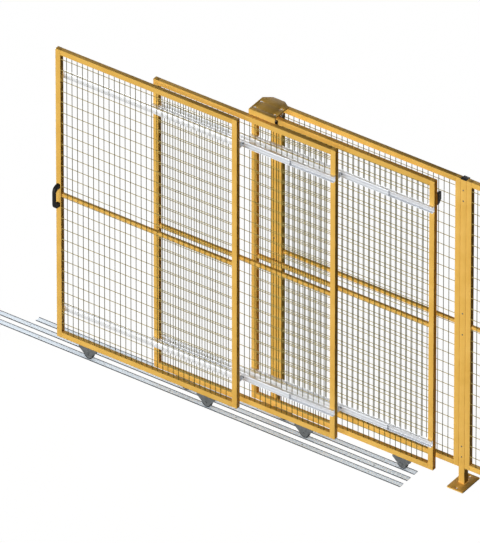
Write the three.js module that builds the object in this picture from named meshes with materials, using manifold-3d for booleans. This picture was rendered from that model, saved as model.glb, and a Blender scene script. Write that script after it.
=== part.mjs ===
// A run of welded wire mesh fence with a telescopic sliding door of three leaves in front of it.
// Millimetres, +X along the fence to the right, +Y away from the door's side, +Z up.
// The origin is on the floor under the centre of the middle post.
// Leaf 1 is the front one, farthest from the fence, and leaf 3 is the one next to the fence.
import * as THREE from "three";
import { mergeVertices } from "three/addons/utils/BufferGeometryUtils.js";
import Module from "manifold-3d";

const wasm = await Module();
wasm.setup();

// ---- Clearances ----
const touchGap = 0.3; // between two pieces that lie on each other
const boltClearance = 0.3; // around a bolt in its hole
const cutPast = 1; // how far a cutting body runs past the face that it opens

// ---- Fence: posts and fixed panels ----
const postSide = 40;
const postWall = 2;
const postHeight = 2120;
const footWidth = 110;
const footDepth = 175;
const footThickness = 8;
const footHoleRadius = 7;
const footHoleInset = 20;
const capThickness = 4;
const capPlugDepth = 15;
const capPlugWall = 3;
const panelWidth = 1250;
const panelBottom = 120; // the panels reach from here to the posts' tops

// ---- Tube frames, the same section for the panels and the leaves ----
const frameFace = 35; // as seen from the front
const frameDepth = 30; // from front to back
const frameWall = 2;
const midRailSide = 20;
const midRailWall = 2;
const drainHoleSide = 8;

// ---- Welded mesh ----
const wire = 4;
const columnPitch = 36.6;
const rowPitch = 73.6;
const topRowGap = 30; // from the opening's top edge to the first row
const meshSetBack = 1; // from the frame's front face to the mesh

// ---- Door leaves ----
const leafWidth = 1250;
const leafBottom = 80;
const leafTopDrop = 35; // from the posts' tops down to the leaves' tops
const leafGap = 42; // clear space between two leaves, and between leaf 3 and the fence
const leafEndInset = 147; // from the middle post's centre to the end of leaf 3
const leafStagger = 625; // how far each leaf stands out past the next one

// ---- How far the leaves run, for the lengths of the tracks ----
const gripPast = 16; // leaf 3's end past the last roller's axis when it is run out
const leafOverlap = 60; // leaf over leaf when they are run out
const trackSpare = 438; // track 2 and track 3 past their leaf's run-out end
const trackEndInset = 272; // from the middle post's centre to the tracks' right ends

// ---- Floor tracks ----
const trackWidth = 36;
const trackHeight = 6;
const trackBase = 3;
const trackWall = 2;

// ---- Wheels, brackets and axles ----
const wheelRadius = 34;
const wheelWidth = 20;
const wheelInset = 215; // from the leaf's end to the axle
const hubRadius = 14;
const webRadius = 26;
const webWidth = 10;
const axleRadius = 5;
const axleHeadRadius = 8;
const axleHeadThickness = 4;
const bracketTopWidth = 126;
const bracketPlate = 3;
const bracketSideGap = 1.5; // between the wheel and the bracket's side
const bracketNoseRadius = 24;
const bracketNoseDrop = 20; // how far the nose ends below the axle
const bracketShoulder = 12; // straight edge under the top plate

// ---- Guide rails between the leaves ----
const railHeight = 40;
const railDepth = 20;
const railWall = 2.5;
const railTopInset = 187; // from the leaf's top to the upper rails' middles
const railBottomInset = 192; // from the leaf's bottom to the lower rails' middles
const sliderReach = 325; // past the leaf's end
const sliderHold = 300; // length that lies on the leaf's own rail

// ---- Handle on leaf 1 ----
const handleDrop = 8; // from the leaf's middle down to the handle's middle
const handleLength = 158;
const handleStandoff = 50;
const handleWidth = 22;
const handleBar = 14;
const handleFoot = 30;

// ---- Stop on the back of leaf 3 ----
const stopTopInset = 103; // from the leaf's top down to the stop's top
const stopHeight = 75;
const stopWidth = 15;
const stopFenceGap = 1.2;
const stopChamfer = 22;

// ---- Top bracket on the left post, with its guide rollers ----
const topPlateWidth = 180;
const topPlateThickness = 4;
const topPlateFront = 125; // from the post's front face to the folded edge
const topPlateTaper = 34; // how far before the back edge the corners' cuts begin
const topPlateBackWidth = 80;
const topPlateBack = 9; // past the post's back face
const topPlateDrop = 34; // height of the folded front edge
const rollerSpacing = 134; // along the leaf, between the two pairs
const rollerRadius = 18;
const rollerHeight = 25;
const rollerTopInset = 2; // from the leaf's top to the roller's top
const rollerChamferLength = 1.5;
const rollerChamferDepth = 2;
const slotLength = 26;
const shoulderRadius = 8;
const rollerHeadRadius = 9;
const rollerHeadThickness = 6;

// ---- Finishes ----
const yellow = { color: 0xe8b85a, roughness: 0.45, metalness: 0.1 };
const galvanised = { color: 0xb9bdb6, roughness: 0.45, metalness: 0.7 };
const wireGrey = { color: 0x8a8b66, roughness: 0.5, metalness: 0.5 };
const anodised = { color: 0xd3d6dc, roughness: 0.35, metalness: 0.7 };
const darkSteel = { color: 0x555a5a, roughness: 0.5, metalness: 0.6 };
const blackPlastic = { color: 0x101012, roughness: 0.5, metalness: 0.0 };
const darkTyre = { color: 0x2d3030, roughness: 0.7, metalness: 0.0 };

// ---- Derived places ----
const postPitch = panelWidth + postSide;
const panelHeight = postHeight - panelBottom;
const leafHeight = postHeight - leafTopDrop - leafBottom;
const leafTop = leafBottom + leafHeight;
const fenceFront = -postSide / 2;
const leafPitch = frameDepth + leafGap;
const leafCentreX = (leaf) => -leafEndInset - leafWidth / 2 - (3 - leaf) * leafStagger;
const leafFrontY = (leaf) => fenceFront - (4 - leaf) * leafPitch;
const leafCentreY = (leaf) => leafFrontY(leaf) + frameDepth / 2;
const midRailTop = (height) => height / 2;
const meshDepth = 2 * wire + touchGap;
const midRailFront = meshSetBack + meshDepth + 2 * touchGap;
const sliderHeight = railHeight - 2 * (railWall + touchGap);
const axleZ = trackBase + touchGap + wheelRadius;
const leafTravel3 = postPitch - rollerSpacing / 2 - gripPast - leafEndInset;
const leafTravel = (leaf) => leafTravel3 + (3 - leaf) * (leafWidth - leafStagger - leafOverlap);

// ---- Geometry helpers ----
function block(x0, x1, y0, y1, z0, z1) {
  const geometry = new THREE.BoxGeometry(x1 - x0, y1 - y0, z1 - z0);
  return geometry.translate((x0 + x1) / 2, (y0 + y1) / 2, (z0 + z1) / 2);
}

function solidOf(geometry) {
  const bare = geometry.clone();
  bare.deleteAttribute("normal");
  bare.deleteAttribute("uv");
  const merged = mergeVertices(bare, 1e-4);
  const vertProperties = new Float32Array(merged.attributes.position.array);
  const triVerts = new Uint32Array(merged.index.array);
  return new wasm.Manifold(new wasm.Mesh({ numProp: 3, vertProperties, triVerts }));
}

function solidBlock(...corners) {
  return solidOf(block(...corners));
}

function geometryOf(solid) {
  const mesh = solid.getMesh();
  const geometry = new THREE.BufferGeometry();
  geometry.setAttribute("position", new THREE.BufferAttribute(mesh.vertProperties, 3));
  geometry.setIndex(new THREE.BufferAttribute(mesh.triVerts, 1));
  const flat = geometry.toNonIndexed();
  flat.computeVertexNormals();
  return flat;
}

function shapeOf(points) {
  return new THREE.Shape(points.map(([u, v]) => new THREE.Vector2(u, v)));
}

function extrudeUp(shape, z0, z1, curveSegments = 6) {
  const settings = { depth: z1 - z0, bevelEnabled: false, curveSegments };
  return new THREE.ExtrudeGeometry(shape, settings).translate(0, 0, z0);
}

// The shape's first axis lies along Y and its second along Z.
function extrudeAlongX(shape, x0, x1, curveSegments = 6) {
  const turned = new THREE.Matrix4().set(0, 0, 1, 0, 1, 0, 0, 0, 0, 1, 0, 0, 0, 0, 0, 1);
  return extrudeUp(shape, x0, x1, curveSegments).applyMatrix4(turned);
}

// The shape's first axis lies along X and its second along Z.
function extrudeAlongY(shape, y0, y1, curveSegments = 6) {
  return extrudeUp(shape, -y1, -y0, curveSegments).rotateX(Math.PI / 2);
}

// A round or six-sided rod along Y.
function rodAlongY(radius, y0, y1, sides) {
  const rod = new THREE.CylinderGeometry(radius, radius, y1 - y0, sides);
  return rod.translate(0, (y0 + y1) / 2, 0);
}

function rodUp(radius, z0, z1, sides) {
  return rodAlongY(radius, z0, z1, sides).rotateX(Math.PI / 2);
}

// A ring turned round the Y axis from pairs of radius and height that close on themselves.
function turned(profile, sides) {
  const points = [...profile, profile[0]].map(([radius, y]) => new THREE.Vector2(radius, y));
  return new THREE.LatheGeometry(points, sides);
}

function node(name, geometry, finish) {
  const mesh = new THREE.Mesh(geometry, new THREE.MeshStandardMaterial(finish));
  mesh.name = name;
  return mesh;
}

// ---- Fence ----
function footPlate() {
  const holeY = footDepth / 2 - footHoleInset;
  let plate = solidBlock(-footWidth / 2, footWidth / 2, -footDepth / 2, footDepth / 2, 0, footThickness);
  for (const y of [-holeY, holeY]) {
    const hole = rodUp(footHoleRadius, -cutPast, footThickness + cutPast, 16).translate(0, y, 0);
    plate = plate.subtract(solidOf(hole));
  }
  return plate;
}

function post(tubeTop) {
  const outer = postSide / 2;
  const inner = outer - postWall;
  const tube = solidBlock(-outer, outer, -outer, outer, footThickness / 2, tubeTop);
  const bore = solidBlock(-inner, inner, -inner, inner, footThickness, tubeTop + cutPast);
  return geometryOf(footPlate().add(tube).subtract(bore));
}

function postCap() {
  const outer = postSide / 2;
  const plug = outer - postWall - touchGap;
  const core = plug - capPlugWall;
  const lid = solidBlock(-outer, outer, -outer, outer, -capThickness, 0);
  const skirt = solidBlock(-plug, plug, -plug, plug, -capThickness - capPlugDepth, -capThickness / 2);
  const hollow = solidBlock(-core, core, -core, core, -capThickness - capPlugDepth - cutPast, -capThickness);
  return geometryOf(lid.add(skirt).subtract(hollow));
}

// A ring of rectangular tube with a square middle rail, open inside from tube to tube and drained underneath.
function tubeFrame(width, height) {
  const half = width / 2;
  const innerHalf = half - frameFace;
  const railTop = midRailTop(height);
  const railBack = midRailFront + midRailSide;
  const ring = solidBlock(-half, half, 0, frameDepth, 0, height).subtract(
    solidBlock(-innerHalf, innerHalf, -cutPast, frameDepth + cutPast, frameFace, height - frameFace),
  );
  const rail = solidBlock(
    -innerHalf - frameWall, innerHalf + frameWall,
    midRailFront, railBack,
    railTop - midRailSide, railTop,
  );
  const coreReach = half - frameWall;
  const islandReach = innerHalf + frameWall;
  const core = solidBlock(
    -coreReach, coreReach, frameWall, frameDepth - frameWall, frameWall, height - frameWall,
  ).subtract(solidBlock(
    -islandReach, islandReach, 0, frameDepth, frameFace - frameWall, height - frameFace + frameWall,
  ));
  const railCore = solidBlock(
    -islandReach - cutPast, islandReach + cutPast,
    midRailFront + midRailWall, Math.min(railBack - midRailWall, frameDepth - frameWall),
    railTop - midRailSide + midRailWall, railTop - midRailWall,
  );
  const drain = solidBlock(
    -drainHoleSide / 2, drainHoleSide / 2,
    (frameDepth - drainHoleSide) / 2, (frameDepth + drainHoleSide) / 2,
    -cutPast, frameWall + cutPast,
  );
  return geometryOf(ring.add(rail).subtract(core).subtract(railCore).subtract(drain));
}

// Two layers of wires whose ends are joined by an edge wire that lies inside the frame.
function wireMesh(width, height) {
  const edgeX = width / 2 - frameFace - touchGap;
  const low = frameFace + touchGap;
  const high = height - frameFace - touchGap;
  const front = meshSetBack;
  const back = front + meshDepth;
  const proud = touchGap / 2; // the edge wire stands this far out of both layers
  let mesh = solidBlock(-edgeX, edgeX, front - proud, back + proud, low, high).subtract(
    solidBlock(-edgeX + wire, edgeX - wire, front - cutPast, back + cutPast, low + wire, high - wire),
  );
  const columns = Math.round((width - 2 * frameFace) / columnPitch) - 1;
  const rows = Math.floor((height - 2 * frameFace - topRowGap) / rowPitch) + 1;
  const wires = [];
  for (let i = 0; i < columns; i += 1) {
    const x = (i - (columns - 1) / 2) * columnPitch;
    wires.push(solidBlock(x - wire / 2, x + wire / 2, front, front + wire, low + wire / 2, high - wire / 2));
  }
  for (let i = 0; i < rows; i += 1) {
    const z = height - frameFace - topRowGap - i * rowPitch;
    wires.push(solidBlock(-edgeX + wire / 2, edgeX - wire / 2, back - wire, back, z - wire / 2, z + wire / 2));
  }
  for (const one of wires) mesh = mesh.add(one);
  return geometryOf(mesh);
}

function fence() {
  const group = new THREE.Group();
  const capped = postHeight - capThickness - touchGap;
  const posts = [["left", -postPitch, postHeight], ["middle", 0, capped], ["right", postPitch, capped]];
  for (const [side, x, tubeTop] of posts) {
    const upright = node(`post_${side}`, post(tubeTop), yellow);
    upright.position.set(x, 0, 0);
    // The left post's foot lies along the fence, clear of the track beside it.
    if (side === "left") upright.rotation.z = Math.PI / 2;
    group.add(upright);
  }
  for (const [side, x] of posts.slice(1)) {
    const cap = node(`post_cap_${side}`, postCap(), blackPlastic);
    cap.position.set(x, 0, postHeight);
    group.add(cap);
  }
  for (const [side, direction] of [["left", -1], ["right", 1]]) {
    const panel = new THREE.Group();
    panel.position.set(direction * postPitch / 2, fenceFront, panelBottom);
    panel.add(node(`panel_${side}_frame`, tubeFrame(panelWidth - 2 * touchGap, panelHeight), yellow));
    panel.add(node(`panel_${side}_mesh`, wireMesh(panelWidth - 2 * touchGap, panelHeight), wireGrey));
    group.add(panel);
  }
  return group;
}

// ---- Floor tracks ----
function track(leaf) {
  const half = trackWidth / 2;
  const inner = half - trackWall;
  const section = shapeOf([
    [-half, 0], [half, 0], [half, trackHeight], [inner, trackHeight],
    [inner, trackBase], [-inner, trackBase], [-inner, trackHeight], [-half, trackHeight],
  ]);
  const runOutEnd = leafCentreX(leaf) - leafWidth / 2 - leafTravel(leaf);
  const spare = leaf === 1 ? 0 : trackSpare; // the front leaf closes where its track ends
  const rail = extrudeAlongX(section, runOutEnd - spare, -trackEndInset);
  const piece = node(`track_${leaf}`, rail, galvanised);
  piece.position.set(0, leafCentreY(leaf), 0);
  return piece;
}

// ---- Wheels ----
function wheel() {
  const half = wheelWidth / 2;
  const web = webWidth / 2;
  const bore = axleRadius + boltClearance;
  const rim = [
    [bore, -half], [hubRadius, -half], [hubRadius, -web], [webRadius, -web], [webRadius, -half],
    [wheelRadius, -half], [wheelRadius, half],
    [webRadius, half], [webRadius, web], [hubRadius, web], [hubRadius, half], [bore, half],
  ];
  return turned(rim, 20);
}

// A cheek of the bracket: straight shoulders under the leaf that taper to a round nose.
function cheekShape(top) {
  const half = bracketTopWidth / 2;
  const noseZ = bracketNoseRadius - bracketNoseDrop;
  const run = half;
  const rise = top - bracketShoulder - noseZ;
  const reach = Math.hypot(run, rise);
  const tangent = Math.asin(bracketNoseRadius / reach) + Math.atan2(rise, run);
  const endAngle = tangent - Math.PI / 2;
  const shape = new THREE.Shape();
  shape.moveTo(-half, top);
  shape.lineTo(-half, top - bracketShoulder);
  shape.absarc(0, noseZ, bracketNoseRadius, Math.PI - endAngle, 2 * Math.PI + endAngle, false);
  shape.lineTo(half, top - bracketShoulder);
  shape.lineTo(half, top);
  return shape;
}

function wheelBracket() {
  const top = leafBottom - touchGap - axleZ;
  const inner = wheelWidth / 2 + bracketSideGap;
  const outer = inner + bracketPlate;
  const half = bracketTopWidth / 2;
  let bracket = solidBlock(-half, half, -outer, outer, top - bracketPlate, top);
  for (const [y0, y1] of [[-outer, -inner], [inner, outer]]) {
    bracket = bracket.add(solidOf(extrudeAlongY(cheekShape(top), y0, y1, 6)));
  }
  const hole = rodAlongY(axleRadius + boltClearance, -outer - cutPast, outer + cutPast, 12);
  return geometryOf(bracket.subtract(solidOf(hole)));
}

function axle() {
  const face = wheelWidth / 2 + bracketSideGap + bracketPlate + touchGap;
  let bolt = solidOf(rodAlongY(axleRadius, -face - cutPast, face + cutPast, 12));
  for (const [y0, y1] of [[-face - axleHeadThickness, -face], [face, face + axleHeadThickness]]) {
    bolt = bolt.add(solidOf(rodAlongY(axleHeadRadius, y0, y1, 6)));
  }
  return geometryOf(bolt);
}

function runningGear(leaf) {
  const group = new THREE.Group();
  for (const [end, direction] of [["left", -1], ["right", 1]]) {
    const corner = new THREE.Group();
    corner.position.set(direction * (leafWidth / 2 - wheelInset), frameDepth / 2, axleZ - leafBottom);
    corner.add(node(`leaf_${leaf}_wheel_${end}`, wheel(), darkTyre));
    corner.add(node(`leaf_${leaf}_wheel_bracket_${end}`, wheelBracket(), darkSteel));
    corner.add(node(`leaf_${leaf}_axle_${end}`, axle(), darkSteel));
    group.add(corner);
  }
  return group;
}

// ---- Guide rails ----
// A channel along the leaf; its mouth faces -Y where facing is -1 and +Y where it is 1.
function channel(facing) {
  const half = railHeight / 2;
  const inner = half - railWall;
  const mouth = facing * railDepth / 2;
  const web = -facing * (railDepth / 2 - railWall);
  const outline = [
    [-mouth, -half], [mouth, -half], [mouth, -inner], [web, -inner],
    [web, inner], [mouth, inner], [mouth, half], [-mouth, half],
  ];
  const section = shapeOf(facing > 0 ? outline : outline.reverse());
  return extrudeAlongX(section, -leafWidth / 2, leafWidth / 2);
}

function guideRails(leaf) {
  const group = new THREE.Group();
  const frontY = -touchGap - railDepth / 2;
  const backY = frameDepth + touchGap + railDepth / 2;
  const leafEnd = leafWidth / 2;
  for (const [level, z] of [["upper", leafHeight - railTopInset], ["lower", railBottomInset]]) {
    if (leaf > 1) {
      const front = node(`leaf_${leaf}_guide_channel_${level}`, channel(-1), anodised);
      front.position.set(0, frontY, z);
      group.add(front);
    }
    if (leaf < 3) {
      const back = node(`leaf_${leaf}_carrier_rail_${level}`, channel(1), anodised);
      back.position.set(0, backY, z);
      group.add(back);
      const sliderFront = frameDepth + touchGap + railWall + touchGap;
      const sliderBack = frameDepth + leafGap - touchGap - railWall - touchGap;
      const half = sliderHeight / 2;
      const bar = block(leafEnd - sliderHold, leafEnd + sliderReach, sliderFront, sliderBack, -half, half);
      const slider = node(`leaf_${leaf}_slide_bar_${level}`, bar, anodised);
      slider.position.set(0, 0, z);
      group.add(slider);
    }
  }
  return group;
}

// ---- Handle ----
// The bow's side view: first axis Y, out from the leaf towards -Y, second axis Z.
function handleShape() {
  const half = handleLength / 2;
  const innerHalf = half - handleFoot;
  const out = -handleStandoff;
  const grip = out + handleBar;
  const bend = innerHalf - handleBar;
  const shape = new THREE.Shape();
  shape.moveTo(0, half);
  shape.bezierCurveTo(out * 0.75, half, out, half - handleFoot / 2, out, bend);
  shape.lineTo(out, -bend);
  shape.bezierCurveTo(out, handleFoot / 2 - half, out * 0.75, -half, 0, -half);
  shape.lineTo(0, -innerHalf);
  shape.quadraticCurveTo(grip, -innerHalf, grip, -bend);
  shape.lineTo(grip, bend);
  shape.quadraticCurveTo(grip, innerHalf, 0, innerHalf);
  return shape;
}

function handle() {
  const bow = extrudeAlongX(handleShape(), -handleWidth / 2, handleWidth / 2, 4);
  const piece = node("leaf_1_handle", bow, blackPlastic);
  piece.position.set(-leafWidth / 2 + frameFace / 2, -touchGap, leafHeight / 2 - handleDrop);
  return piece;
}

// ---- Stop ----
function stop() {
  const back = leafGap - stopFenceGap;
  const profile = shapeOf([
    [touchGap, 0], [touchGap + stopChamfer, 0], [back, stopChamfer],
    [back, stopHeight], [touchGap, stopHeight],
  ]);
  const piece = node("leaf_3_stop", extrudeAlongX(profile, -stopWidth, 0), blackPlastic);
  piece.position.set(leafWidth / 2, frameDepth, leafHeight - stopTopInset - stopHeight);
  return piece;
}

// ---- Leaves ----
function doorLeaf(leaf) {
  const group = new THREE.Group();
  group.position.set(leafCentreX(leaf), leafFrontY(leaf), leafBottom);
  group.add(node(`leaf_${leaf}_frame`, tubeFrame(leafWidth, leafHeight), yellow));
  group.add(node(`leaf_${leaf}_mesh`, wireMesh(leafWidth, leafHeight), wireGrey));
  group.add(runningGear(leaf));
  group.add(guideRails(leaf));
  if (leaf === 1) group.add(handle());
  if (leaf === 3) group.add(stop());
  return group;
}

// ---- Top bracket ----
const rollerPlaces = [];
for (const [side, direction] of [["left", -1], ["right", 1]]) {
  rollerPlaces.push([`front_${side}`, direction, -frameDepth / 2 - touchGap - rollerRadius]);
  rollerPlaces.push([`back_${side}`, direction, frameDepth / 2 + touchGap + rollerRadius]);
}

function slot(x, y) {
  const radius = axleRadius + boltClearance;
  const reach = (slotLength - 2 * radius) / 2;
  const shape = new THREE.Shape();
  shape.absarc(x - reach, y, radius, Math.PI / 2, 1.5 * Math.PI, false);
  shape.absarc(x + reach, y, radius, -Math.PI / 2, Math.PI / 2, false);
  return solidOf(extrudeUp(shape, -cutPast, topPlateThickness + cutPast, 4));
}

function topBracket() {
  const half = topPlateWidth / 2;
  const backHalf = topPlateBackWidth / 2;
  const front = fenceFront - topPlateFront;
  const back = postSide / 2 + topPlateBack;
  const outline = shapeOf([
    [-half, front], [half, front], [half, back - topPlateTaper],
    [backHalf, back], [-backHalf, back], [-half, back - topPlateTaper],
  ]);
  let plate = solidOf(extrudeUp(outline, 0, topPlateThickness));
  const lip = solidBlock(
    -half, half, front, front + topPlateThickness, topPlateThickness - topPlateDrop, topPlateThickness / 2,
  );
  plate = plate.add(lip);
  for (const [, direction, y] of rollerPlaces) {
    plate = plate.subtract(slot(direction * rollerSpacing / 2, leafCentreY(3) + y));
  }
  return geometryOf(plate);
}

function guideRoller() {
  const half = rollerHeight / 2;
  const bore = axleRadius + boltClearance;
  const rim = rollerRadius - rollerChamferDepth;
  const side = half - rollerChamferLength;
  const profile = [
    [bore, -half], [rim, -half], [rollerRadius, -side],
    [rollerRadius, side], [rim, half], [bore, half],
  ];
  return turned(profile, 18).rotateX(Math.PI / 2);
}

// A bolt up through the roller and the plate, with a shoulder that holds the roller down.
function rollerBolt(rollerMiddle, plateUnderside) {
  const half = rollerHeight / 2;
  const shoulderLow = rollerMiddle + half + touchGap;
  const headTop = rollerMiddle - half - touchGap;
  const threadTop = plateUnderside + topPlateThickness;
  const shank = solidOf(rodUp(axleRadius, headTop - cutPast, threadTop, 12));
  const shoulder = solidOf(rodUp(shoulderRadius, shoulderLow, plateUnderside - touchGap, 12));
  const head = solidOf(rodUp(rollerHeadRadius, headTop - rollerHeadThickness, headTop, 6));
  return geometryOf(shank.add(shoulder).add(head));
}

function topGuide() {
  const group = new THREE.Group();
  group.position.set(-postPitch, 0, 0);
  const plateUnderside = postHeight + touchGap;
  const plate = node("top_bracket", topBracket(), yellow);
  plate.position.set(0, 0, plateUnderside);
  group.add(plate);
  const rollerMiddle = leafTop - rollerTopInset - rollerHeight / 2;
  for (const [place, direction, y] of rollerPlaces) {
    const stand = new THREE.Group();
    stand.position.set(direction * rollerSpacing / 2, leafCentreY(3) + y, 0);
    const roller = node(`guide_roller_${place}`, guideRoller(), blackPlastic);
    roller.position.set(0, 0, rollerMiddle);
    stand.add(roller);
    stand.add(node(`guide_roller_bolt_${place}`, rollerBolt(rollerMiddle, plateUnderside), darkSteel));
    group.add(stand);
  }
  return group;
}

// ---- The whole fence and door ----
const partition = new THREE.Group();
partition.add(fence());
partition.add(topGuide());
for (const leaf of [1, 2, 3]) {
  partition.add(track(leaf));
  partition.add(doorLeaf(leaf));
}

export default partition;
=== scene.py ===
# The looks of a wire mesh machine guard fence with a sliding door of three leaves.
# Metres, in the frame's own axes: +X along the fence, +Y away from the door's side, +Z up.
import math
from collections import namedtuple

import bmesh
import bpy
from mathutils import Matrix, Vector

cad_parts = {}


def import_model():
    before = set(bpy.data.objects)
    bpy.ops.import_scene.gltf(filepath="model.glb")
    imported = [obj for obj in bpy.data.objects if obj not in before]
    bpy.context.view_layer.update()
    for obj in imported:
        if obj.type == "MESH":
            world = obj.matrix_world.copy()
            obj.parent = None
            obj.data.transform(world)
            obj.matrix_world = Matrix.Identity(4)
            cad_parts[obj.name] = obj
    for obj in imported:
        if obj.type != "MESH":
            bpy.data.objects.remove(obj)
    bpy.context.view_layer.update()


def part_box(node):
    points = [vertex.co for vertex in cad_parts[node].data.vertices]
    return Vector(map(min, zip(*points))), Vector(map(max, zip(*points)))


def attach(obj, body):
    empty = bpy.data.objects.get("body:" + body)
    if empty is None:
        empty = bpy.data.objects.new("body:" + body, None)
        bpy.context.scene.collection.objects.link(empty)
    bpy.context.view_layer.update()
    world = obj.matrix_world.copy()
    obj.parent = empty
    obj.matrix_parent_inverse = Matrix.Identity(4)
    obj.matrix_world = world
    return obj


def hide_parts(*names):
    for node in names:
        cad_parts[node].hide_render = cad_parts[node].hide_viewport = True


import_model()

# ---- Frames and mesh ----
FRAME_FACE = 0.035
TUBE_ROUND = 0.002
MID_RAIL = 0.020
MID_RAIL_SET_BACK = 0.0099
MID_RAIL_ROUND = 0.002
END_ROUND = 0.0012
JOINT_ROUND = 0.0007
WIRE = 0.004
WIRE_SIDES = 10
COLUMN_PITCH = 0.0366
ROW_PITCH = 0.0736
TOP_ROW_GAP = 0.030
MESH_SET_BACK = 0.001
WELD_SINK = 0.0004

# ---- Welds ----
NUB_RADIUS = 0.0021
NUB_SIDES = 6
NUB_FLAT_WIDTH = 0.85
NUB_FLAT_HEIGHT = 0.55
END_NUB_HEIGHT = NUB_RADIUS * 0.7
CROSSING_NUB_HEIGHT = WIRE * 0.42
WELD_RADIUS = 0.0021
WELD_STEP = 0.0016
WELD_SIDES = 8
WELD_VALLEY = 0.78

# ---- Posts ----
POST = 0.040
POST_ROUND = 0.0022
FOOT_THICKNESS = 0.008
FOOT_HOLE_RADIUS = 0.007
FOOT_HOLE_INSET = 0.020
FOOT_ROUND = 0.005
FOOT_EDGE = 0.0008
FOOT_WELD_RADIUS = 0.0032
FOOT_WELD_RISE = FOOT_WELD_RADIUS * 0.3
PANEL_BOTTOM = 0.120
PANEL_TOP = 2.120
SCREW_NEAR = 0.075
SCREW_FAR = 0.148
SCREW_MIDDLE = 0.073
CAP_LID = 0.004
CAP_LID_EDGE = 0.0015
CAP_PLUG_GAP = 0.0024
CAP_PLUG_EDGE = 0.001

# ---- Tracks and rails; a channel's rounds are shares of its wall ----
CHANNEL_OUTER_ROUND = 0.45
CHANNEL_LIP_ROUND = 0.35
CHANNEL_EDGE = 0.0003
TRACK_BASE = 0.003
TRACK_WALL = 0.002
TRACK_STRIP_GAP = 0.0004
TRACK_STRIP_SINK = 0.0005
TRACK_STRIP_RISE = 0.0001
TRACK_SCREW_PITCH = 0.45
RAIL_WALL = 0.0025
RAIL_SCREW_INSET = 0.015
SHADE_LINER_RISE = 0.0002
SHADE_LINER_SINK = 0.001
SHADE_LINER_SIDE_GAP = 0.0002
SHADE_LINER_END_GAP = 0.001
STRIP_ROUND = 0.0001

# ---- Slide bars ----
BLOCK_ROUND = 0.0015
BAR_DEPTH = 0.0165
BAR_LAP = 0.012
BAR_ROUND = 0.0012
BAR_EDGE = 0.0005
BAR_GROOVE = 0.0025
BAR_GROOVE_DEPTH = 0.0008
BAR_GROOVE_ROUND = 0.0003
BAR_PLUG_RADIUS = 0.0045
BAR_PLUG_DEPTH = 0.002
BAR_PLUG_SINK = 0.0001
CLAMP_OFFSET = 0.007
CLAMP_RISE = 0.004

# ---- Wheels ----
NOSE_RADIUS = 0.024
NOSE_DROP = 0.020
NOSE_STEPS = 18
SHOULDER = 0.012
CHEEK = 0.003
CHEEK_EDGE = 0.0005
BRACKET_TOP_ROUND = 0.001
BRACKET_TOP_EDGE = 0.0006
BRACKET_WELD_RADIUS = 0.0012
BRACKET_WELD_INSET = 0.01
AXLE_RADIUS = 0.005
AXLE_HEAD_SINK = 0.001
AXLE_NUT_SINK = 0.0006
BORE_RADIUS = 0.0053
HUB_RADIUS = 0.014
HUB_CHAMFER = 0.001
RIM_WALL = 0.003
RIM_SIDE_GAP = 0.0005
WEB_HALF = 0.004
WEB_EDGE = 0.0004
WEB_RIM_LAP = 0.001
WEB_HUB_LAP = 0.0005
WEB_HOLES = 5
WEB_HOLE_RADIUS = 0.0042
TYRE_INNER = 0.026
TYRE_DISH = 0.0003

# ---- Handle and stop ----
HANDLE_STANDOFF = 0.050
HANDLE_BAR = 0.014
HANDLE_FOOT = 0.030
HANDLE_SHOULDER = 0.75
HANDLE_ROUND = 0.0045
HANDLE_THIN_ROUND = 0.8
HANDLE_STEPS = 14
HANDLE_SCREW_INSET = 0.0155
HANDLE_SCREW_RADIUS = 0.0042
HANDLE_SCREW_RISE = 0.0017
BOSS_RADIUS = 0.0058
BOSS_START = 0.001
BOSS_END = 0.0345
STOP_CHAMFER = 0.022
STOP_ROUND = 0.0015
STOP_LOW_SCREW = 0.034
STOP_HIGH_SCREW = 0.014
STOP_SCREW_RADIUS = 0.0045
STOP_SCREW_SINK = 0.0022
STOP_SCREW_RISE = 0.0002

# ---- Top bracket and guide rollers ----
ROLLERS = [f"{row}_{side}" for row in ("front", "back") for side in ("left", "right")]
PLATE = 0.004
PLATE_TAPER = 0.034
PLATE_BACK_WIDTH = 0.080
PLATE_EDGE = 0.0005
PLATE_ROUNDS = (0.0003, 0.0003, 0.005, 0.006, 0.006, 0.005)
FOLD_OUTER = 0.006
FOLD_LAP = 0.0006
FLANGE_ROUNDS = (0.0001, 0.0001, FOLD_OUTER, 0.0008, 0.0008, FOLD_OUTER - PLATE)
SLOT_LENGTH = 0.026
SLOT_END_ROUND = BORE_RADIUS * 0.98
ROLLER_BORE = 0.0100
ROLLER_DISH = 0.001
RACE_RADIUS = 0.0103
RACE_CHAMFER = 0.0005
RACE_CHAMFER_DEPTH = 0.0008
ROLLER_GAP = 0.0003
ROLLER_SHAFT_REACH = 0.001
ROLLER_HEAD_RADIUS = 0.0089
SPACER_RADIUS = 0.0080
SPACER_CHAMFER = 0.0010
COLLAR_RADIUS = 0.0095
COLLAR_THICKNESS = 0.0012
COLLAR_GAP = 0.0001

# ---- Profiles that are turned ----
# Heads, in shares of the radius and of the height over the seat.
SOCKET = 0.42
HEX_HEAD = ((0, 0), (1, 0), (1, 0.75), (0.86, 1), (0, 1))
BUTTON_HEAD = (
    (0, 0), (1, 0), (0.95, 0.45), (0.72, 0.85),
    (SOCKET * 1.15, 1), (SOCKET, 0.9), (SOCKET, 0.3), (0, 0.3),
)
# Flush screws, as pairs of the radius and the height over the seat.
TRACK_SCREW = ((0, -0.0003), (0.0045, -0.0003), (0.0045, 0.0001), (0.0041, 0.0002), (0, 0.0002))
RAIL_SCREW = ((0, -0.0003), (0.0050, -0.0003), (0.0045, 0.00015), (0, 0.00015))
# Shoulders of running surfaces, as pairs of the way in from the tread and from the side.
TYRE_SHOULDER = ((0.0040, 0), (0.0018, 0.0006), (0.0005, 0.0020), (0, 0.0050))
ROLLER_SHOULDER = ((0.0040, 0.0002), (0.0025, 0.0003), (0.0008, 0.0020), (0, 0.0045))

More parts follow.
